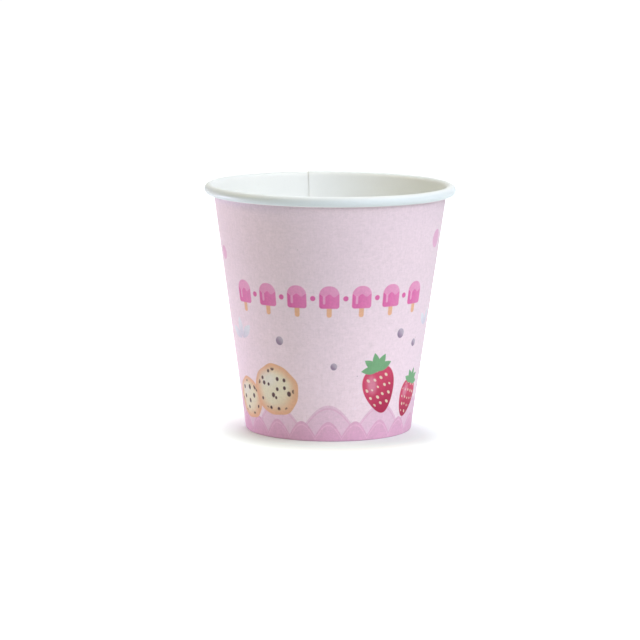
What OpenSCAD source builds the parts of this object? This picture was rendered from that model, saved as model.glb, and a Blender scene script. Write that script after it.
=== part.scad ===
// Small paper ice-cream cup, made of two pieces of coated board.
// The side wall is one blank wrapped into a cone: its edges lap and are sealed down the back, its top is
// rolled outwards into the rim, and its bottom is folded inwards and up round the skirt of the base.
// The cup stands on z = 0, centred on the Z axis, and its front faces -Y. Lengths are in millimetres.

/* [Cup] */
// Diameter over the rolled rim
rim_d = 62; // [54:0.5:90]
// Height from the table to the top of the rim
cup_h = 60.8; // [40:0.2:110]
// Diameter of the wall's outer face, carried straight down to the table
foot_d = 41; // [30:0.5:48]

/* [Board] */
// Thickness of the side wall's board
wall_t = 0.35; // [0.2:0.01:0.5]
// Thickness of the base's board
base_t = 0.3; // [0.2:0.01:0.5]
// Thickness of the seal between the base's skirt and the plies on both sides of it
seal_t = 0.02; // [0.01:0.01:0.05]

/* [Rolled rim] */
// Diameter of the roll's section
roll_d = 2.5; // [2:0.1:4]
// Gap left between the roll's free edge and the lap
roll_gap = 0.1; // [0.05:0.05:0.3]

/* [Side seam] */
// Direction of the blank's inner edge, counted from +X towards +Y
seam_dir = 101; // [0:1:180]
// Width of the lap at the foot
lap_w = 6; // [4:0.5:9]
// Width of the open line that is left inside, along the blank's inner edge
slit_w = 0.25; // [0.15:0.05:0.5]

/* [Foot] */
// Height of the base's underside above the table
base_h = 6; // [4:0.5:12]
// Outer radius of the bend between the base and its skirt
bend_r = 0.9; // [0.6:0.1:2]
// Length of skirt that is left bare between the bend and the folded ply
fold_short = 0.5; // [0.2:0.1:1.5]
// Depth by which the bottom of the fold is pressed flat
press_t = 0.06; // [0.02:0.01:0.1]

/* [Hidden] */
$fn = 120;
// Reach of the cutting shapes past what they cut
overrun = 1;

// The roll: its outer and inner radii, and its middle as a radius from the axis and a height
roll_r = roll_d / 2;
roll_in = roll_r - wall_t;
roll_mid = [rim_d / 2 - roll_r, cup_h - roll_r];

// The wall's outer face runs from the foot so as to touch the inner circle of the roll
foot_r = foot_d / 2;
reach = norm(roll_mid - [foot_r, 0]);
taper = atan2(roll_mid[0] - foot_r, roll_mid[1]) - asin(roll_in / reach);
wall_len = sqrt(reach * reach - roll_in * roll_in);

// The roll stops where its free edge is one roll_gap from the lap's outer ply
roll_turn = 360 - acos((roll_in - wall_t - roll_gap) / roll_r);

// The folded foot: the space between its plies, and the fold's middle and radii
fold_space = base_t + 2 * seal_t;
fold_in = fold_space / 2;
fold_r = fold_in + wall_t;
fold_out = -wall_t - fold_in;
fold_along = along(fold_r - press_t, fold_out);

// The base: the outer face of its skirt, its top, and the middle of the bend
skirt_out = -wall_t - seal_t;
base_top = base_h + base_t;
bend_out = skirt_out - bend_r;
bend_along = along(base_top - bend_r, bend_out);

// Angles that the seam's parts take up round the axis
lap_angle = lap_w / foot_r * 180 / PI;
slit_angle = slit_w / foot_r * 180 / PI;

// The outer ply of the lap is sealed into the inner one by a share of the board's thickness. It covers the
// slit and as much again beyond it, then runs straight on until it touches the wall. That flat is let into
// the wall by a smaller share, so that the two faces meet at a clear angle
seal_share = 0.5;
flat_share = 0.06;
lap_in = -seal_share * wall_t;
flat_in = -flat_share * wall_t;
cover_angle = 2 * slit_angle;
climb_angle = acos(foot_r / (foot_r + wall_t));

// Distance along the slant at which a line that far out of the wall's outer face reaches a height
function along(height, out) = (height + out * sin(taper)) / cos(taper);
// Radius and height of a point given outwards from the wall's outer face and along its slant
function place(out, along) = [
    foot_r + along * sin(taper) + out * cos(taper),
    along * cos(taper) - out * sin(taper)
];

// Sections on the wall are drawn with X outwards from its outer face and Y up along its slant
module on_slant() {
    translate([foot_r, 0])
        rotate(-taper)
            children();
}

// A straight length of board between two lines each way
module ply(inner, outer, bottom, top) {
    polygon([[inner, bottom], [outer, bottom], [outer, top], [inner, top]]);
}

// A length of board bent round a point: part of a ring, from one direction through an angle
module bent_ply(middle, outer_r, inner_r, start, turn) {
    steps = ceil(turn / 60);
    clear_r = 2 * outer_r;
    rays = [for (i = [0:steps]) start + turn * i / steps];
    translate(middle)
        intersection() {
            difference() {
                circle(outer_r);
                circle(inner_r);
            }
            polygon([[0, 0], for (a = rays) clear_r * [cos(a), sin(a)]]);
        }
}

// One layer of the rolled rim, from the wall over the top and round to its free edge
module rolled_ply(outer_r, inner_r) {
    bent_ply([roll_in, wall_len], outer_r, inner_r, 180 - roll_turn, roll_turn);
}

// The folded foot, from the wall down and round to the ply that stands inside the skirt
module folded_ply() {
    bent_ply([fold_out, fold_along], fold_r, fold_in, 180, 180);
    ply(fold_out - fold_r, fold_out - fold_in, fold_along, bend_along - fold_short);
}

// Section of the blank, pressed flat where its fold stands on the table
module blank_section() {
    difference() {
        on_slant() {
            ply(-wall_t, 0, fold_along, wall_len);
            rolled_ply(roll_r, roll_in);
            folded_ply();
        }
        translate([0, -overrun])
            square([foot_d, overrun]);
    }
}

// Outer ply of the side seam: the lap, and the flat stretch in which it climbs off the wall on to the lap
module lap_on_wall() {
    difference() {
        rotate_extrude(angle = lap_angle + cover_angle + climb_angle, start = -lap_angle)
            on_slant()
                ply(lap_in, wall_t, fold_along, wall_len - lap_in);
        rotate([0, 0, cover_angle + climb_angle])
            translate([foot_r, 0, 0])
                rotate([0, taper, 0])
                    translate([flat_in, -foot_r, -overrun])
                        cube([foot_r, foot_d, wall_len + 2 * overrun]);
    }
}

// The same ply inside the rolled rim
module lap_in_roll() {
    rotate_extrude(angle = lap_angle + cover_angle, start = -lap_angle)
        on_slant()
            rolled_ply(roll_in - lap_in, roll_in - wall_t);
}

module side_wall() {
    color("#ecd3e2")
        rotate([0, 0, seam_dir])
            union() {
                rotate_extrude(angle = 360 - slit_angle, start = slit_angle)
                    blank_section();
                lap_on_wall();
                lap_in_roll();
            }
}

// Section of the base: a flat disc, a bend, and a skirt that follows the wall down into the fold. The bend's
// two ends are square to the disc and to the skirt
module base_section() {
    bend_in = bend_r - base_t;
    bend_mid = place(bend_out, bend_along);
    ply(0, bend_mid[0], base_h, base_top);
    translate(bend_mid) {
        bent_ply([0, 0], bend_r, bend_in, 30, 60);
        rotate(-taper) {
            bent_ply([0, 0], bend_r, bend_in, 0, 60);
            ply(bend_in, bend_r, fold_along - bend_along, 0);
        }
    }
}

module base() {
    color("#f3f3ee")
        rotate_extrude()
            base_section();
}

side_wall();
base();
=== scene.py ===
"""Small paper cup: a printed wall with a rolled rim and a folded foot, wrapped round a raised base."""

import math
from collections import namedtuple

import bpy
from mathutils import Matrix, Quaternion, Vector


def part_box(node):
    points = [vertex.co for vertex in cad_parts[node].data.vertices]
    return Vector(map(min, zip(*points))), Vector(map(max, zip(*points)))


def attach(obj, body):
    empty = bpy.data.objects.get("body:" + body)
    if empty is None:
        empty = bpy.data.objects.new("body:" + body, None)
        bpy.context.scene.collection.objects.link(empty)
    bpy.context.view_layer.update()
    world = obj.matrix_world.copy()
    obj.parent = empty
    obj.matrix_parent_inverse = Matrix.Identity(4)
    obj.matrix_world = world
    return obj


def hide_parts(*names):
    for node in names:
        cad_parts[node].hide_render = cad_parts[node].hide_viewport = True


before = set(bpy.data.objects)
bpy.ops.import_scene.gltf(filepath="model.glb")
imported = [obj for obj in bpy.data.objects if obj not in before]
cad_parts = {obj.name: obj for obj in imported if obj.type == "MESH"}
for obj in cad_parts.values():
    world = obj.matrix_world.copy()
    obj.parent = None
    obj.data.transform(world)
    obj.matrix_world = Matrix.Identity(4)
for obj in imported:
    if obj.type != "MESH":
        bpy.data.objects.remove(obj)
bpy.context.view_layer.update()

MM = 0.001
FULL_TURN = 2 * math.pi

# Sizes of the cup that the frame gives
side_low, side_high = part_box("side_wall")
RIM_R = (side_high.x - side_low.x) / 2
CUP_H = side_high.z
CUP_MIDDLE = Vector((0, 0, CUP_H / 2))

# Sizes of the cup that are the same as the solids'
FOOT_R = 20.5 * MM
BOARD = 0.35 * MM
BASE_BOARD = 0.3 * MM
SEAL = 0.02 * MM
ROLL_R = 1.25 * MM
ROLL_GAP = 0.1 * MM
SEAM_DIR = math.radians(101)
LAP_W = 6 * MM
SLIT_W = 0.25 * MM
BASE_H = 6 * MM
BEND_R = 0.9 * MM
FOLD_SHORT = 0.5 * MM
PRESS = 0.06 * MM

# The wall's outer face runs from the foot so as to touch the inner circle of the roll
roll_in = ROLL_R - BOARD
roll_middle = Vector((RIM_R - ROLL_R, CUP_H - ROLL_R))
reach = (roll_middle - Vector((FOOT_R, 0))).length
TAPER = math.atan2(roll_middle.x - FOOT_R, roll_middle.y) - math.asin(roll_in / reach)
WALL_LEN = math.sqrt(reach**2 - roll_in**2)
ROLL_MID_R = ROLL_R - BOARD / 2
ROLL_TURN = FULL_TURN - math.acos((roll_in - BOARD - ROLL_GAP) / ROLL_R)

# The fold at the foot, at the middle of the board
fold_in = BASE_BOARD / 2 + SEAL
FOLD_OUT = -BOARD - fold_in
FOLD_MID_R = fold_in + BOARD / 2


def along_slant(height, out):
    """Distance up the slant at which a line that far out of the wall's outer face reaches a height."""
    return (height + out * math.sin(TAPER)) / math.cos(TAPER)


FOLD_ALONG = along_slant(fold_in + BOARD - PRESS, FOLD_OUT)
bend_out = -BOARD - SEAL - BEND_R
FLANGE = along_slant(BASE_H + BASE_BOARD - BEND_R, bend_out) - FOLD_SHORT - FOLD_ALONG

# Angles of the side seam round the axis
LAP = LAP_W / FOOT_R
COVER = 2 * SLIT_W / FOOT_R
CLIMB = math.acos(FOOT_R / (FOOT_R + BOARD))
# Share of its thickness that each ply keeps where the lap is pressed and sealed
LAP_PRESSED_SHARE = 0.6


class Term:
    """The output of a node. Sums of outputs and numbers add the nodes that work them out."""

    def __init__(self, maker, socket):
        self.maker = maker
        self.socket = socket

    def __add__(self, other):
        return self.maker.maths("ADD", self, other)

    def __radd__(self, other):
        return self.maker.maths("ADD", other, self)

    def __sub__(self, other):
        return self.maker.maths("SUBTRACT", self, other)

    def __rsub__(self, other):
        return self.maker.maths("SUBTRACT", other, self)

    def __mul__(self, other):
        return self.maker.maths("MULTIPLY", self, other)

    def __rmul__(self, other):
        return self.maker.maths("MULTIPLY", other, self)

    def __truediv__(self, other):
        return self.maker.maths("DIVIDE", self, other)

    def __lt__(self, other):
        return self.maker.maths("LESS_THAN", self, other)


class Maker:
    """Adds nodes to one tree. A value given to a node is a number, a colour, a name or a Term."""

    def __init__(self, tree):
        self.tree = tree

    def add(self, kind, inputs=None, **settings):
        node = self.tree.nodes.new(kind)
        for name, value in settings.items():
            setattr(node, name, value)
        for key, value in (inputs or {}).items():
            self.feed(node.inputs[key], value)
        return node

    def feed(self, socket, value):
        if isinstance(value, Term):
            self.tree.links.new(value.socket, socket)
        else:
            socket.default_value = value

    def out(self, node, key=0):
        return Term(self, node.outputs[key])

    def maths(self, operation, *values):
        return self.out(self.add("ShaderNodeMath", dict(enumerate(values)), operation=operation))

    def sine(self, angle):
        return self.maths("SINE", angle)

    def cosine(self, angle):
        return self.maths("COSINE", angle)

    def ramp(self, value, low, high, smooth=True):
        """0 below low, 1 above high."""
        curve = "SMOOTHSTEP" if smooth else "LINEAR"
        node = self.add("ShaderNodeMapRange", {0: value, 1: low, 2: high}, interpolation_type=curve)
        return self.out(node)

    def band(self, value, begins, full, fades, ends):
        """1 between full and fades, 0 before it begins and after it ends."""
        return self.ramp(value, begins, full) * (1.0 - self.ramp(value, fades, ends))

    def split(self, vector):
        node = self.add("ShaderNodeSeparateXYZ", {0: vector})
        return [self.out(node, axis) for axis in "XYZ"]

    def join(self, x, y, z=0.0):
        return self.out(self.add("ShaderNodeCombineXYZ", {"X": x, "Y": y, "Z": z}))

    def scale(self, vector, factor):
        return self.out(self.add("ShaderNodeVectorMath", {0: vector, "Scale": factor}, operation="SCALE"))

    def mix(self, share, first, second):
        node = self.add("ShaderNodeMix", {0: share, 6: first, 7: second}, data_type="RGBA")
        return self.out(node, 2)

    def object_place(self):
        return self.out(self.add("ShaderNodeTexCoord"), "Object")

    def spread(self):
        """Turns round the axis and share of the slant, as the wall's UV map has them."""
        turns, share, _ = self.split(self.out(self.add("ShaderNodeUVMap", uv_map=SPREAD_MAP)))
        return turns, share


def floats(*names):
    """Number sockets of these names."""
    return {name: "Float" for name in names}


def new_tree(name, kind, inputs, outputs):
    """A node tree with named sockets. Gives the tree, its maker, its inputs by name and its output node."""
    tree = bpy.data.node_groups.new(name, kind)
    for direction, sockets in (("INPUT", inputs), ("OUTPUT", outputs)):
        for socket_name, socket_kind in sockets.items():
            tree.interface.new_socket(socket_name, in_out=direction, socket_type="NodeSocket" + socket_kind)
    make = Maker(tree)
    entry = make.add("NodeGroupInput")
    given = {socket_name: make.out(entry, socket_name) for socket_name in inputs}
    return tree, make, given, make.add("NodeGroupOutput")


# Rows of faces along the blank's section, and columns round it
FLANGE_ROWS, FOLD_ROWS, WALL_ROWS, ROLL_ROWS = 6, 10, 26, 30
ROWS = FLANGE_ROWS + FOLD_ROWS + WALL_ROWS + ROLL_ROWS
COLUMNS = 378

# Attribute and vertex group that is 1 where the board is at its full thickness and 0 where it is pressed
FULL_BOARD = "full_board"
# UV map of the blank, by which the print is laid out
SPREAD_MAP = "UVMap"
# Edges that turn by more than this are sharp
SHARP_FROM = math.radians(50)

BLANK_SIZES = {
    "Foot radius": FOOT_R,
    "Taper": TAPER,
    "Board": BOARD,
    "Wall length": WALL_LEN,
    "Flange": FLANGE,
    "Fold middle out": FOLD_OUT,
    "Fold middle along": FOLD_ALONG,
    "Fold radius": FOLD_MID_R,
    "Roll radius": ROLL_MID_R,
    "Roll turn": ROLL_TURN,
    "Seam direction": SEAM_DIR,
    "Lap": LAP,
    "Lap pressed share": LAP_PRESSED_SHARE,
    "Lap easing": math.radians(5),
    "Lap cover": COVER,
    "Lap climb": CLIMB,
    "Lap bottom": 3 * MM,
    "Knurls": 90.0,
    "Knurl depth": 0.07 * MM,
}


def wrapped_blank_tree():
    """A flat blank made into the wall: wrapped round with a lap, folded at the foot and rolled at the rim."""
    tree, make, given, result = new_tree(
        "wrapped blank",
        "GeometryNodeTree",
        {**floats(*BLANK_SIZES), "Print": "Material"},
        {"Wall": "Geometry"},
    )
    grid = make.add("GeometryNodeMeshGrid", {"Vertices X": COLUMNS + 1, "Vertices Y": ROWS + 1})
    flat_x, flat_y, _ = make.split(make.out(make.add("GeometryNodeInputPosition")))
    turn = (flat_x + 0.5) * (given["Lap"] + FULL_TURN)
    row = (flat_y + 0.5) * ROWS

    # How far each stretch of the section has run, from 0 to 1, at a row
    run, first = [], 0
    for rows in (FLANGE_ROWS, FOLD_ROWS, WALL_ROWS, ROLL_ROWS):
        run.append(make.ramp(row, float(first), float(first + rows), smooth=False))
        first += rows
    flange_run, fold_run, wall_run, roll_run = run

    wall_along = given["Fold middle along"] + wall_run * (given["Wall length"] - given["Fold middle along"])

    # In the lap the inner ply keeps its inner face, and the outer ply lies on it
    lap_start = FULL_TURN - given["Lap cover"]
    above_fold = make.ramp(wall_along, given["Fold middle along"], given["Lap bottom"])
    outer_ply = above_fold * make.ramp(turn, lap_start - given["Lap climb"], lap_start)
    inner_ply = above_fold * (1.0 - make.ramp(turn, given["Lap"], given["Lap"] + given["Lap easing"]))
    pressed = given["Lap pressed share"]
    lift = given["Board"] * (outer_ply * (1.5 * pressed - 0.5) - inner_ply * (0.5 - 0.5 * pressed))

    # The section at the middle of the board, outwards from the wall's outer face and along its slant
    knurl = given["Knurl depth"] * (0.5 - 0.5 * make.cosine(turn * given["Knurls"]))
    flange_bulge = knurl * make.sine(flange_run * math.pi)
    fold_turn = fold_run * math.pi
    roll_turn = roll_run * given["Roll turn"]
    roll_radius = given["Roll radius"] - lift
    out = (
        given["Fold middle out"]
        - given["Fold radius"] * make.cosine(fold_turn)
        - flange_bulge
        + lift
        + roll_radius * (1.0 - make.cosine(roll_turn))
    )
    along = (
        wall_along
        + given["Flange"] * (1.0 - flange_run)
        - given["Fold radius"] * make.sine(fold_turn)
        + roll_radius * make.sine(roll_turn)
    )

    # The section's place: its radius and height, with the fold's bottom pressed flat on the table
    slope, rise = make.sine(given["Taper"]), make.cosine(given["Taper"])
    radius = given["Foot radius"] + along * slope + out * rise
    height = make.maths("MAXIMUM", along * rise - out * slope, given["Board"] * 0.5)
    azimuth = given["Seam direction"] - turn
    place = make.join(radius * make.cosine(azimuth), radius * make.sine(azimuth), height)

    # Turns round the axis and share of the slant, for the print
    below_wall = given["Flange"] * (1.0 - flange_run) + given["Fold radius"] * math.pi * (1.0 - fold_run)
    printed_along = wall_along - below_wall + roll_radius * roll_turn
    spread = make.join(turn / FULL_TURN, printed_along / given["Wall length"])
    named = make.add(
        "GeometryNodeStoreNamedAttribute",
        {"Geometry": make.out(grid, "Mesh"), "Name": SPREAD_MAP, "Value": spread},
        data_type="FLOAT2",
        domain="CORNER",
    )
    full_share = 1.0 - make.maths("MAXIMUM", outer_ply, inner_ply)
    full = make.add(
        "GeometryNodeStoreNamedAttribute",
        {"Geometry": make.out(named), "Name": FULL_BOARD, "Value": full_share},
        data_type="FLOAT",
        domain="POINT",
    )
    bent = make.add("GeometryNodeSetPosition", {"Geometry": make.out(full), "Position": place})

    # Under the lap the inner ply ends above the fold, so that only one ply is folded
    read = make.add("GeometryNodeInputNamedAttribute", {"Name": SPREAD_MAP}, data_type="FLOAT_VECTOR")
    turns, share, _ = make.split(make.out(read, "Attribute"))
    spare = (turns < given["Lap"] / FULL_TURN) * (share < given["Lap bottom"] / given["Wall length"])
    values = {"Geometry": make.out(bent), "Selection": spare}
    cut = make.add("GeometryNodeDeleteGeometry", values, domain="FACE")
    turned = make.add("GeometryNodeFlipFaces", {"Mesh": make.out(cut)})
    smooth = make.add("GeometryNodeSetShadeSmooth", {"Geometry": make.out(turned)})
    whole = make.add("GeometryNodeRealizeInstances", {"Geometry": make.out(smooth)})
    dressed = make.add("GeometryNodeSetMaterial", {"Geometry": make.out(whole), "Material": given["Print"]})
    make.feed(result.inputs["Wall"], make.out(dressed))
    return tree


def plain_mesh(piece):
    """Puts the piece's evaluated mesh in the place of its own, and removes its modifiers."""
    bpy.context.view_layer.update()
    evaluated = piece.evaluated_get(bpy.context.evaluated_depsgraph_get())
    mesh = bpy.data.meshes.new_from_object(evaluated)
    mesh.name = piece.name
    piece.modifiers.clear()
    piece.data = mesh


def cup_wall(print_finish, coat_finish, edge_finish):
    """The side wall: the wrapped blank, given the board's thickness."""
    wall = bpy.data.objects.new("cup_wall", bpy.data.meshes.new("cup_wall"))
    bpy.context.scene.collection.objects.link(wall)
    tree = wrapped_blank_tree()
    modifier = wall.modifiers.new("wrapped blank", "NODES")
    modifier.node_group = tree
    values = {**BLANK_SIZES, "Print": print_finish}
    for item in tree.interface.items_tree:
        if item.in_out == "INPUT":
            modifier[item.identifier] = values[item.name]
    plain_mesh(wall)

    wall.data.materials.append(coat_finish)
    wall.data.materials.append(edge_finish)
    group = wall.vertex_groups.new(name=FULL_BOARD)
    for index, point in enumerate(wall.data.attributes[FULL_BOARD].data):
        group.add([index], point.value, "REPLACE")
    board = wall.modifiers.new("board", "SOLIDIFY")
    board.thickness = BOARD
    board.vertex_group = FULL_BOARD
    board.thickness_vertex_group = LAP_PRESSED_SHARE
    board.offset = 0
    board.use_even_offset = True
    board.material_offset = 1
    board.material_offset_rim = 2
    plain_mesh(wall)
    wall.data.set_sharp_from_angle(angle=SHARP_FROM)

    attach(wall, "root")
    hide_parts("side_wall")


def linear(*levels):
    """A colour for a shader from its red, green and blue levels on a screen, of 255."""
    shares = [level / 255 for level in levels]
    curved = [share / 12.92 if share <= 0.04045 else ((share + 0.055) / 1.055) ** 2.4 for share in shares]
    return curved + [1.0]


def new_finish(name):
    """A material with its maker and its shader."""
    finish = bpy.data.materials.new(name)
    finish.use_nodes = True
    return finish, Maker(finish.node_tree), finish.node_tree.nodes["Principled BSDF"]


def use_group(make, tree, **inputs):
    """Places a node group. Input names have _ for spaces."""
    values = {name.replace("_", " "): value for name, value in inputs.items()}
    return make.add("ShaderNodeGroup", values, node_tree=tree)


# Noises in the paper's grain: scale along X, Y and Z, in which less makes longer marks, scale of the whole
# at a place in millimetres, detail and share of the height
FIBRE_NOISES = (
    ((1, 1, 1), 1.5, 3.0, 0.9),
    ((1, 1, 0.2), 2.6, 2.0, 0.6),
    ((0.25, 0.25, 1), 2.6, 2.0, 0.6),
    ((1, 1, 1), 9.0, 1.0, 0.4),
)
FIBRE_DISTORTION = 0.6
# Dark specks, in about one of every five cells: cells a millimetre, size in a cell, chance and depth
SPECK_CELLS = 0.28
SPECK_CORE, SPECK_EDGE = 0.03, 0.07
SPECK_NEVER, SPECK_ALWAYS = 0.78, 0.82
SPECK_DEPTH = 1.2


def paper_fibre_group():
    """Flecks and fibres of paper: a shade round 1 and a height, at a place in millimetres."""
    tree, make, given, result = new_tree(
        "paper fibre", "ShaderNodeTree", {"Place": "Vector", **floats("Contrast")}, floats("Shade", "Height")
    )

    def noise(axis_scales, scale, detail, share):
        mapped = make.add("ShaderNodeMapping", {"Vector": given["Place"], "Scale": axis_scales})
        values = {"Vector": make.out(mapped), "Scale": scale, "Detail": detail}
        node = make.add("ShaderNodeTexNoise", {**values, "Distortion": FIBRE_DISTORTION})
        return (make.out(node) - 0.5) * share

    noises = [noise(*values) for values in FIBRE_NOISES]
    height = sum(noises[1:], noises[0])
    cells = make.add("ShaderNodeTexVoronoi", {"Vector": given["Place"], "Scale": SPECK_CELLS})
    chance, _, _ = make.split(make.out(cells, "Color"))
    in_speck = 1.0 - make.ramp(make.out(cells, "Distance"), SPECK_CORE, SPECK_EDGE)
    speck = in_speck * make.ramp(chance, SPECK_NEVER, SPECK_ALWAYS)
    make.feed(result.inputs["Shade"], 1.0 + (height - speck * SPECK_DEPTH) * given["Contrast"])
    make.feed(result.inputs["Height"], height)
    return tree


# Inputs of a patch of ink: a place from its middle, its half sizes and half the width of its soft edge
PATCH_SIZES = ("X", "Y", "Half width", "Half height", "Soft")


def oval_group():
    """An oval patch of ink with a soft edge: its mask, and its depth, 0 at the edge and 1 in the middle."""
    tree, make, given, result = new_tree(
        "oval patch", "ShaderNodeTree", floats(*PATCH_SIZES), floats("Mask", "Depth")
    )
    across = given["X"] / given["Half width"]
    up = given["Y"] / given["Half height"]
    depth = 1.0 - make.maths("SQRT", across * across + up * up)
    soft = given["Soft"] / make.maths("MINIMUM", given["Half width"], given["Half height"])
    make.feed(result.inputs["Mask"], make.ramp(depth, 0.0 - soft, soft))
    make.feed(result.inputs["Depth"], depth)
    return tree


def lens_group():
    """A patch of ink with two pointed ends, as a leaf has."""
    tree, make, given, result = new_tree("lens patch", "ShaderNodeTree", floats(*PATCH_SIZES), floats("Mask"))
    up = given["Y"] / given["Half height"]
    inside = given["Half width"] * (1.0 - up * up) - make.maths("ABSOLUTE", given["X"])
    make.feed(result.inputs["Mask"], make.ramp(inside, 0.0 - given["Soft"], given["Soft"]))
    return tree


def slab_group():
    """A rectangle of ink with round corners, of one radius at the top and another at the bottom."""
    tree, make, given, result = new_tree(
        "slab patch",
        "ShaderNodeTree",
        floats(*PATCH_SIZES, "Top radius", "Bottom radius"),
        floats("Mask"),
    )
    below = given["Y"] < 0.0
    corner = given["Top radius"] + below * (given["Bottom radius"] - given["Top radius"])
    past_x = make.maths("ABSOLUTE", given["X"]) - given["Half width"] + corner
    past_y = make.maths("ABSOLUTE", given["Y"]) - given["Half height"] + corner
    out_x = make.maths("MAXIMUM", past_x, 0.0)
    out_y = make.maths("MAXIMUM", past_y, 0.0)
    inside = make.maths("MINIMUM", make.maths("MAXIMUM", past_x, past_y), 0.0)
    distance = make.maths("SQRT", out_x * out_x + out_y * out_y) + inside - corner
    make.feed(result.inputs["Mask"], 1.0 - make.ramp(distance, 0.0 - given["Soft"], given["Soft"]))
    return tree


def sprinkle_group():
    """Small grains over a patch, at a spacing: in even rows at a scatter of 0, anywhere at 1."""
    tree, make, given, result = new_tree(
        "sprinkles",
        "ShaderNodeTree",
        floats("X", "Y", "Spacing", "Size", "Shift", "Scatter"),
        floats("Mask"),
    )
    across = (given["X"] + given["Shift"]) / given["Spacing"]
    up = (given["Y"] - given["Shift"]) / given["Spacing"]
    values = {"Vector": make.join(across, up), "Scale": 1.0, "Randomness": given["Scatter"]}
    cells = make.add("ShaderNodeTexVoronoi", values, voronoi_dimensions="2D")
    chance, _, _ = make.split(make.out(cells, "Color"))
    # Grains are a quarter smaller to a quarter larger than their size, with an edge as soft as that
    size = given["Size"] / given["Spacing"] * (0.75 + chance * 0.5)
    make.feed(result.inputs["Mask"], 1.0 - make.ramp(make.out(cells, "Distance"), size * 0.75, size * 1.25))
    return tree


# The print runs twice round the cup. Its places are degrees from the front and millimetres up the slant,
# and its sizes are millimetres
PRINT_REPEATS = 2
FRONT_TURNS = (SEAM_DIR + math.pi / 2) / FULL_TURN
INK_EDGE = 0.12
# Heights between which the ground turns from its paler shade at the foot to its full shade
PALE_BELOW, FULL_ABOVE = 12.0, 48.0
# Share of the light ink in a shine
GLINT_STRENGTH = 0.35

INKS = {
    "ground": linear(241, 219, 230),
    "ground_at_foot": linear(252, 229, 241),
    "pale_hill": linear(240, 205, 226),
    "hill": linear(233, 182, 212),
    "deep_pink": linear(226, 112, 174),
    "rose": linear(232, 132, 186),
    "light_pink": linear(246, 200, 226),
    "crimson": linear(214, 78, 112),
    "dark_crimson": linear(182, 48, 86),
    "cream": linear(243, 232, 208),
    "peach": linear(240, 186, 152),
    "chip": linear(98, 72, 74),
    "leaf": linear(126, 176, 132),
    "lilac": linear(238, 236, 244),
    "lilac_shade": linear(222, 212, 230),
    "berry": linear(156, 134, 160),
    "berry_light": linear(196, 180, 198),
    "bare_board": linear(244, 240, 234),
}

# Shapes of ink: the place of the middle to the right and up, the half sizes, and the corners or the soft edge
Slab = namedtuple("Slab", "right up half_w half_h top_r bottom_r")
Oval = namedtuple("Oval", "right up half_w half_h soft")


def print_place_group():
    """Where a point of the wall lies in the print: its angle from the front, its height and its radius."""
    tree, make, given, result = new_tree(
        "print place", "ShaderNodeTree", floats("Turns", "Share"), floats("Angle", "Up", "Radius")
    )
    half = 0.5 / PRINT_REPEATS
    angle = make.maths("WRAP", FRONT_TURNS - given["Turns"], half, -half) * FULL_TURN
    up = given["Share"] * (WALL_LEN / MM)
    make.feed(result.inputs["Angle"], angle)
    make.feed(result.inputs["Up"], up)
    make.feed(result.inputs["Radius"], up * math.sin(TAPER) + FOOT_R / MM)
    return tree


class Print:
    """Inks laid one over another on the wall's ground."""

    def __init__(self, make):
        self.make = make
        self.groups = {
            "oval": oval_group(),
            "lens": lens_group(),
            "slab": slab_group(),
            "sprinkle": sprinkle_group(),
        }
        self.turns, share = make.spread()
        place = use_group(make, print_place_group(), Turns=self.turns, Share=share)
        self.angle, self.up, self.radius = (make.out(place, name) for name in ("Angle", "Up", "Radius"))
        self.colour = self.graded(self.up, PALE_BELOW, FULL_ABOVE, "ground_at_foot", "ground")

    def at(self, degrees, up, tilt=0):
        """Millimetres right of and above a place, turned by a tilt to the left."""
        return self.tilted((self.angle - math.radians(degrees)) * self.radius, self.up - up, tilt)

    def tilted(self, x, y, tilt):
        """The same place on axes that are turned by a tilt to the left."""
        if tilt == 0:
            return x, y
        cosine, sine = math.cos(math.radians(tilt)), math.sin(math.radians(tilt))
        return x * cosine + y * sine, y * cosine - x * sine

    def patch(self, kind, x, y, **sizes):
        return use_group(self.make, self.groups[kind], X=x, Y=y, **sizes)

    def oval(self, x, y, half_w, half_h, soft=INK_EDGE):
        node = self.patch("oval", x, y, Half_width=half_w, Half_height=half_h, Soft=soft)
        return self.make.out(node, "Mask"), self.make.out(node, "Depth")

    def lens(self, x, y, half_w, half_h):
        return self.make.out(self.patch("lens", x, y, Half_width=half_w, Half_height=half_h, Soft=INK_EDGE))

    def slab(self, x, y, shape):
        sizes = {"Half_width": shape.half_w, "Half_height": shape.half_h, "Soft": INK_EDGE}
        corners = {"Top_radius": shape.top_r, "Bottom_radius": shape.bottom_r}
        return self.make.out(self.patch("slab", x - shape.right, y - shape.up, **sizes, **corners))

    def sprinkle(self, x, y, spacing, size, shift, scatter):
        values = {"Spacing": spacing, "Size": size, "Shift": shift, "Scatter": scatter}
        return self.make.out(self.patch("sprinkle", x, y, **values))

    def ink(self, mask, colour):
        """Lays an ink, by its name or as a Term, over what is there."""
        laid = colour if isinstance(colour, Term) else INKS[colour]
        self.colour = self.make.mix(mask, self.colour, laid)

    def graded(self, value, low, high, low_ink, high_ink):
        return self.make.mix(self.make.ramp(value, low, high), INKS[low_ink], INKS[high_ink])

    def glint(self, x, y, shape, size, ink):
        """A soft oval of shine, for a shape given at size 1."""
        right, up, half_w, half_h, soft = (value * size for value in shape)
        mask, _ = self.oval(x - right, y - up, half_w, half_h, soft)
        self.ink(mask * GLINT_STRENGTH, ink)


# Rows of hills from the back to the front: hills in a repeat, height of the dips, rise of the tops, two inks
HILL_ROWS = (
    (5, 3.2, 6.0, "pale_hill", "hill"),
    (10, 1.4, 3.6, "hill", "light_pink"),
)
# Depths below a hill's edge at which the line along it begins, is full, fades and ends
HILL_LINE = (0.55, 0.75, 0.95, 1.15)
HILL_LINE_STRENGTH = 0.7


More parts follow.
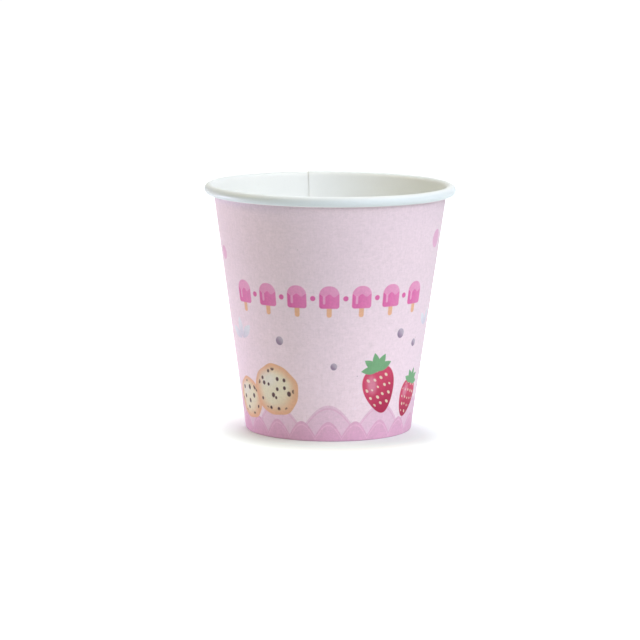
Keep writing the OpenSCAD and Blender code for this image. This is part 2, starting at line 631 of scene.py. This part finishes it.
def foot_hills(art):
    """Two rows of round hills along the foot, the wide pale ones behind the small ones."""
    make = art.make
    for count, dip, rise, ink, line_ink in HILL_ROWS:
        crest = make.maths("ABSOLUTE", make.cosine(art.angle * count)) * rise + dip
        depth = crest - art.up
        art.ink(make.ramp(depth, -INK_EDGE, INK_EDGE), ink)
        art.ink(make.band(depth, *HILL_LINE) * HILL_LINE_STRENGTH, line_ink)


# Ice lollies: the row's height, the step between two, and the number on each side of the middle one
LOLLY_ROW_UP = 35.5
LOLLY_STEP = math.radians(18)
LOLLIES_EACH_SIDE = 3
LOLLY_STICK = Slab(0, -2.5, 0.62, 1.6, 0.2, 0.55)
LOLLY_BODY = Slab(0, 0.9, 2.45, 2.8, 2.3, 0.7)
LOLLY_SHINE = Slab(-1.25, 0.2, 0.28, 1.0, 0.28, 0.28)
# Distance to each side of its middle over which the body is shaded, and the strength of its shine
LOLLY_SHADED, SHINE_STRENGTH = 2.4, 0.6
# The icing's lower edge: its height, the height of its waves, their radians a millimetre, and its strength
ICING_UP, ICING_WAVE, ICING_RIPPLE, ICING_STRENGTH = 1.35, 0.35, 2.6, 0.4
# Dots between two: height and radius
DOT_UP, DOT_R = 0.6, 0.65


def lolly_row(art):
    """A row of ice lollies across the front, with a dot between each two."""
    make = art.make
    last = LOLLIES_EACH_SIDE

    def from_step(step, furthest):
        """Millimetres right of a step of the row, or of the furthest one."""
        kept = make.maths("MINIMUM", make.maths("MAXIMUM", step, -furthest), furthest)
        return (art.angle - kept * LOLLY_STEP) * art.radius

    x = from_step(make.maths("ROUND", art.angle / LOLLY_STEP), float(last))
    y = art.up - LOLLY_ROW_UP
    art.ink(art.slab(x, y, LOLLY_STICK), "peach")
    body = art.slab(x, y, LOLLY_BODY)
    art.ink(body, art.graded(x, -LOLLY_SHADED, LOLLY_SHADED, "deep_pink", "rose"))
    wavy_up = y - make.cosine(x * ICING_RIPPLE) * ICING_WAVE
    icing = make.ramp(wavy_up, ICING_UP - INK_EDGE, ICING_UP + INK_EDGE)
    art.ink(body * icing * ICING_STRENGTH, "light_pink")
    art.ink(art.slab(x, y, LOLLY_SHINE) * SHINE_STRENGTH, "light_pink")
    between_two = from_step(make.maths("ROUND", art.angle / LOLLY_STEP - 0.5) + 0.5, last - 0.5)
    dot, _ = art.oval(between_two, y - DOT_UP, DOT_R, DOT_R)
    art.ink(dot, "deep_pink")


# Biscuits: degrees, height, radius, and a shift that gives each its own outline and chips
BISCUITS = ((-62, 9.2, 5.2, 1.3), (-36, 12.4, 6.5, 7.9))
# Waves of the outline: how many go round, and their share of the radius
SLOW_WAVES, SLOW_WAVE_SHARE = 5.0, 0.02
QUICK_WAVES, QUICK_WAVE_SHARE = 9.0, 0.012
# Depth at which the baked edge ends, and the stretch, in shares of the radius, over which a side is browned
BAKED_DEPTH = 0.5
BROWNED_SHARES, BROWNED_STRENGTH = (0.2, 1.3), 0.45
BISCUIT_GLINT = Oval(-0.35, 0.4, 0.4, 0.3, 0.2)
# Chips: spacing, size, scatter, narrowness, and the depths between which they begin
CHIP_SPACING, CHIP_SIZE, CHIP_SCATTER, CHIP_NARROW = 2.7, 0.55, 0.8, 1.25
CHIP_DEPTHS = (0.14, 0.22)


def biscuit(art, degrees, up, radius, shift):
    """A round biscuit, baked darker at its edge and at its lower right, with chips in it."""
    make = art.make
    x, y = art.at(degrees, up)
    round_it = make.maths("ARCTAN2", y, x)
    slow = make.cosine(round_it * SLOW_WAVES + shift) * SLOW_WAVE_SHARE
    wobble = slow + make.cosine(round_it * QUICK_WAVES) * QUICK_WAVE_SHARE + 1.0
    mask, depth = art.oval(x * wobble, y * wobble, radius, radius)
    art.ink(mask, art.graded(depth, 0.0, BAKED_DEPTH, "peach", "cream"))
    browned = make.ramp(x - y, *(share * radius for share in BROWNED_SHARES))
    art.ink(mask * browned * BROWNED_STRENGTH, "peach")
    art.glint(x, y, BISCUIT_GLINT, radius, "lilac")
    chips = art.sprinkle(x * CHIP_NARROW, y, CHIP_SPACING, CHIP_SIZE, shift, CHIP_SCATTER)
    art.ink(chips * make.ramp(depth, *CHIP_DEPTHS), "chip")


# Strawberries: degrees, height, size and tilt. The sizes below are those of size 1
STRAWBERRIES = ((61, 9.6, 1.0, -16), (34, 12.8, 1.28, 14))
STRAWBERRY_HALF_W, STRAWBERRY_HALF_H = 4.3, 4.9
# Share of its width that it has in its middle, the gain from there to its top, and the least to divide by
MIDDLE_SHARE, SHOULDER_SHARE, LEAST_SHARE = 0.8, 0.25, 0.3
# Heights of its darkest and its lightest red, and how these rise towards the right
DARK_UP, LIGHT_UP, LIGHT_LEAN = -4.5, 3.0, 0.5
STRAWBERRY_GLINT = Oval(-1.6, 1.4, 0.9, 1.6, 0.6)
# Seeds: spacing, size, scatter, narrowness, lean of their rows, strength, and the depths where they begin
SEED_SPACING, SEED_SIZE, SEED_SCATTER = 1.75, 0.3, 0.25
SEED_NARROW, SEED_LEAN, SEED_STRENGTH = 1.3, 0.5, 0.85
SEED_DEPTHS = (0.12, 0.18)
# Leaves of the crown: its height, and each leaf's lean, middle and half sizes
CROWN_UP = 4.1
LEAF_LEANS = (-80, -42, 0, 42, 80)
LEAF_MIDDLE, LEAF_HALF_W, LEAF_HALF_H = 1.4, 0.8, 2.0


def strawberry(art, degrees, up, size, tilt):
    """A strawberry with pale seeds, a highlight and a crown of leaves."""
    make = art.make
    x, y = art.at(degrees, up, tilt)
    half_w, half_h = STRAWBERRY_HALF_W * size, STRAWBERRY_HALF_H * size
    taper = make.maths("MAXIMUM", y / half_h * SHOULDER_SHARE + MIDDLE_SHARE, LEAST_SHARE)
    mask, depth = art.oval(x / taper, y, half_w, half_h)
    art.ink(mask, art.graded(y - x * LIGHT_LEAN, DARK_UP * size, LIGHT_UP * size, "dark_crimson", "crimson"))
    seed_x = x * SEED_NARROW + y * SEED_LEAN
    seeds = art.sprinkle(seed_x, y, SEED_SPACING * size, SEED_SIZE * size, degrees, SEED_SCATTER)
    art.ink(seeds * make.ramp(depth, *SEED_DEPTHS) * SEED_STRENGTH, "cream")
    art.glint(x, y, STRAWBERRY_GLINT, size, "light_pink")
    for lean in LEAF_LEANS:
        leaf_x, leaf_y = art.tilted(x, y - CROWN_UP * size, lean)
        leaf = art.lens(leaf_x, leaf_y - LEAF_MIDDLE * size, LEAF_HALF_W * size, LEAF_HALF_H * size)
        art.ink(leaf, "leaf")


# Sprigs: degrees, height, half the length of a petal, and the petals' tilts
SPRIGS = ((-62, 24, 2.6, (62, 8, -46)), (73, 27, 2.2, (40, -20)))
# Middle, half width and lightest place of a petal, in shares of half its length
PETAL_MIDDLE_SHARE, PETAL_HALF_W_SHARE, PETAL_LIGHT_SHARE = 1.15, 0.42, 2.2


def sprig(art, degrees, up, half_length, tilts):
    """A loose sprig of pale petals round one place."""
    x, y = art.at(degrees, up)
    for tilt in tilts:
        petal_x, petal_y = art.tilted(x, y, tilt)
        middle_y = petal_y - PETAL_MIDDLE_SHARE * half_length
        mask = art.lens(petal_x, middle_y, PETAL_HALF_W_SHARE * half_length, half_length)
        art.ink(mask, art.graded(petal_y, 0.0, PETAL_LIGHT_SHARE * half_length, "lilac_shade", "lilac"))


# Berries and spots: degrees, height and radius
BERRIES = ((-30, 25, 1.0), (46, 26.5, 1.1), (60, 23.5, 0.85), (3, 19, 0.8))
BERRY_TALL_SHARE = 1.1
SPOTS = ((72, 49, 2.3), (-74, 45, 1.7))


def berry(art, degrees, up, radius):
    """A small berry, lighter at its upper right."""
    x, y = art.at(degrees, up)
    mask, _ = art.oval(x, y, radius, radius * BERRY_TALL_SHARE)
    art.ink(mask, art.graded(y + x, -radius, radius, "berry", "berry_light"))


def spot(art, degrees, up, radius):
    """A plain round spot."""
    mask, _ = art.oval(*art.at(degrees, up), radius, radius)
    art.ink(mask, "hill")


# Width of bare board that shows along the cut edge outside the lap
BARE_EDGE = 0.15


def cut_edge(art):
    """Bare board along the cut edge outside the lap, where the ink has cracked."""
    inwards = (1 + LAP / FULL_TURN - art.turns) * FULL_TURN * art.radius
    art.ink(1.0 - art.make.ramp(inwards, 0.5 * BARE_EDGE, 1.5 * BARE_EDGE), "bare_board")


# Finish of a paper: contrast of its grain, roughness and how far the grain changes it, bump and gloss
Paper = namedtuple("Paper", "contrast roughness uneven bump bump_height gloss")
PRINTED = Paper(contrast=0.22, roughness=0.62, uneven=0.1, bump=0.35, bump_height=0.03 * MM, gloss=0.25)
COATED = Paper(contrast=0.03, roughness=0.42, uneven=0.12, bump=0.3, bump_height=0.01 * MM, gloss=0.5)
RAW = Paper(contrast=0.12, roughness=0.85, uneven=0.12, bump=0.3, bump_height=0.04 * MM, gloss=0.2)
COAT_COLOUR = linear(250, 252, 251)
RAW_COLOUR = linear(236, 232, 224)
# Painted shade: the coat is painted a little grey along the outermost line of the roll. Turns of the roll at
# which this begins, is full, fades and ends
ROLL_SHADE_TURNS = [math.radians(degrees) for degrees in (95, 160, 210, 255)]
ROLL_SHADE_COLOUR = linear(230, 237, 241)


def grained(make, shader, colour, fibre, paper):
    """Gives a shader its colour and the finish of a paper, with the grain in its shade, gloss and relief."""
    in_mm = make.scale(make.object_place(), 1 / MM)
    grain = use_group(make, fibre, Place=in_mm, Contrast=paper.contrast)
    height = make.out(grain, "Height")
    values = {"Strength": paper.bump, "Distance": paper.bump_height, "Height": height}
    bump = make.add("ShaderNodeBump", values)
    make.feed(shader.inputs["Base Color"], make.scale(colour, make.out(grain, "Shade")))
    make.feed(shader.inputs["Roughness"], height * paper.uneven + paper.roughness)
    make.feed(shader.inputs["Normal"], make.out(bump))
    make.feed(shader.inputs["Specular IOR Level"], paper.gloss)


def printed_paper(fibre):
    """Matt paper, pale pink, with a row of lollies and with sweet things along the foot."""
    finish, make, shader = new_finish("printed_paper")
    art = Print(make)
    foot_hills(art)
    small = ((sprig, SPRIGS), (berry, BERRIES), (spot, SPOTS))
    large = ((biscuit, BISCUITS), (strawberry, STRAWBERRIES))
    for motif, places in small + large:
        for place in places:
            motif(art, *place)
    lolly_row(art)
    cut_edge(art)
    grained(make, shader, art.colour, fibre, PRINTED)
    return finish


def coated_board(fibre):
    """Smooth white board: the inside of the cup, the roll and the base, with a grey band of painted shade
    along the roll.
    """
    finish, make, shader = new_finish("coated_board")
    _, share = make.spread()
    roll_turn = (share - 1.0) * (WALL_LEN / ROLL_MID_R)
    # A grey band of painted shade along the roll's outermost line
    colour = make.mix(make.band(roll_turn, *ROLL_SHADE_TURNS), COAT_COLOUR, ROLL_SHADE_COLOUR)
    grained(make, shader, colour, fibre, COATED)
    return finish


def raw_edge(fibre):
    """Bare board along a cut."""
    finish, make, shader = new_finish("raw_edge")
    grained(make, shader, RAW_COLOUR[:3], fibre, RAW)
    return finish


# Photograph's frame and what the camera was fitted to there, in pixels
FRAME_PX = 640
FOCAL_PX = 3400
AIM_PX = (329.25, 305.7)
CAMERA_DISTANCE = 842 * MM
CAMERA_ELEVATION = math.radians(8.25)
CAMERA_ROLL = 0.0075
CLIP_NEAR, CLIP_FAR = 10 * MM, 100


def photo_camera():
    """Camera in front of the cup and a little above it."""
    data = bpy.data.cameras.new("camera")
    camera = bpy.data.objects.new("camera", data)
    bpy.context.scene.collection.objects.link(camera)
    back = Vector((0, -math.cos(CAMERA_ELEVATION), math.sin(CAMERA_ELEVATION)))
    camera.location = CUP_MIDDLE + back * CAMERA_DISTANCE
    camera.rotation_mode = "QUATERNION"
    camera.rotation_quaternion = (-back).to_track_quat("-Z", "Y") @ Quaternion((0, 0, 1), CAMERA_ROLL)
    data.lens = FOCAL_PX / FRAME_PX * data.sensor_width
    data.shift_x = (FRAME_PX / 2 - AIM_PX[0]) / FRAME_PX
    data.shift_y = (AIM_PX[1] - FRAME_PX / 2) / FRAME_PX
    data.clip_start, data.clip_end = CLIP_NEAR, CLIP_FAR
    bpy.context.scene.camera = camera


# Lamps: direction round the axis from +X, height of direction, distance, width, power and colour
LAMPS = {
    "key_right": (-30, 35, 700 * MM, 500 * MM, 1.65, (0.88, 0.93, 1.0)),
    "front_right": (-62, 25, 700 * MM, 300 * MM, 1.35, (0.96, 0.97, 1.0)),
    "upper_right": (-10, 62, 700 * MM, 300 * MM, 1.45, (1.0, 1.0, 0.94)),
    "upper_back": (105, 55, 700 * MM, 300 * MM, 1.0, (0.62, 0.78, 1.0)),
    "left": (180, 35, 700 * MM, 300 * MM, 1.2, (1.0, 0.86, 0.48)),
    "near_floor_left": (165, -9, 160 * MM, 10 * MM, 0.085, (0.78, 0.75, 1.0)),
}
WORLD_FILL = 0.06


def studio_lamps():
    """Soft lamps round the cup, all aimed at its middle."""
    for name, (azimuth, elevation, distance, width, power, colour) in LAMPS.items():
        data = bpy.data.lights.new(name, "AREA")
        data.shape = "DISK"
        data.size = width
        data.energy = power
        data.color = colour
        lamp = bpy.data.objects.new(name, data)
        lamp.visible_camera = False
        bpy.context.scene.collection.objects.link(lamp)
        turn, rise = math.radians(azimuth), math.radians(elevation)
        level = math.cos(rise)
        way = Vector((math.cos(turn) * level, math.sin(turn) * level, math.sin(rise)))
        lamp.location = CUP_MIDDLE + way * distance
        lamp.rotation_mode = "QUATERNION"
        lamp.rotation_quaternion = way.to_track_quat("Z", "Y")


def seen_directly(make):
    """1 for rays that show the background itself, in view, in a gloss or through glass."""
    rays = make.add("ShaderNodeLightPath")
    in_view, in_gloss = make.out(rays, "Is Camera Ray"), make.out(rays, "Is Glossy Ray")
    return make.maths("MINIMUM", in_view + in_gloss + make.out(rays, "Is Transmission Ray"), 1.0)


def white_world():
    """White wherever it is seen, and a plain grey fill of light on the cup."""
    world = bpy.data.worlds.new("white_world")
    world.use_nodes = True
    bpy.context.scene.world = world
    make = Maker(world.node_tree)
    background = world.node_tree.nodes["Background"]
    make.feed(background.inputs["Color"], (1, 1, 1, 1))
    make.feed(background.inputs["Strength"], WORLD_FILL + seen_directly(make) * (1 - WORLD_FILL))


# The floor glows from a little way round the foot, where the cup's shadow ends
FLOOR_W = 12.0
FLOOR_NEAR, FLOOR_FAR = 15 * MM, 45 * MM
SHADOW_MIDDLE = Vector((2 * MM, -8 * MM, 0))
FLOOR_PAINT = (0.86, 0.92, 0.91, 1)


def white_floor():
    """Plain floor that is white in view and keeps the cup's shadow."""
    half = FLOOR_W / 2
    mesh = bpy.data.meshes.new("floor")
    corners = [(-half, -half, 0), (half, -half, 0), (half, half, 0), (-half, half, 0)]
    mesh.from_pydata(corners, [], [(0, 1, 2, 3)])
    floor = bpy.data.objects.new("floor", mesh)
    bpy.context.scene.collection.objects.link(floor)
    finish, make, shader = new_finish("white_floor")
    finish.node_tree.nodes.remove(shader)
    values = {0: make.object_place(), 1: SHADOW_MIDDLE}
    distance = make.out(make.add("ShaderNodeVectorMath", values, operation="DISTANCE"), "Value")
    level = make.ramp(distance, FLOOR_NEAR, FLOOR_FAR)
    paint = make.add("ShaderNodeBsdfDiffuse", {"Color": FLOOR_PAINT})
    glow = make.add("ShaderNodeEmission", {"Strength": level * seen_directly(make)})
    both = make.add("ShaderNodeAddShader", {0: make.out(paint), 1: make.out(glow)})
    make.feed(finish.node_tree.nodes["Material Output"].inputs["Surface"], make.out(both))
    mesh.materials.append(finish)


bpy.context.scene.view_settings.view_transform = "Standard"
photo_camera()
studio_lamps()
white_world()
white_floor()

fibre = paper_fibre_group()
coat_finish = coated_board(fibre)
cup_wall(printed_paper(fibre), coat_finish, raw_edge(fibre))
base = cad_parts["base"]
base.material_slots[0].material = coat_finish
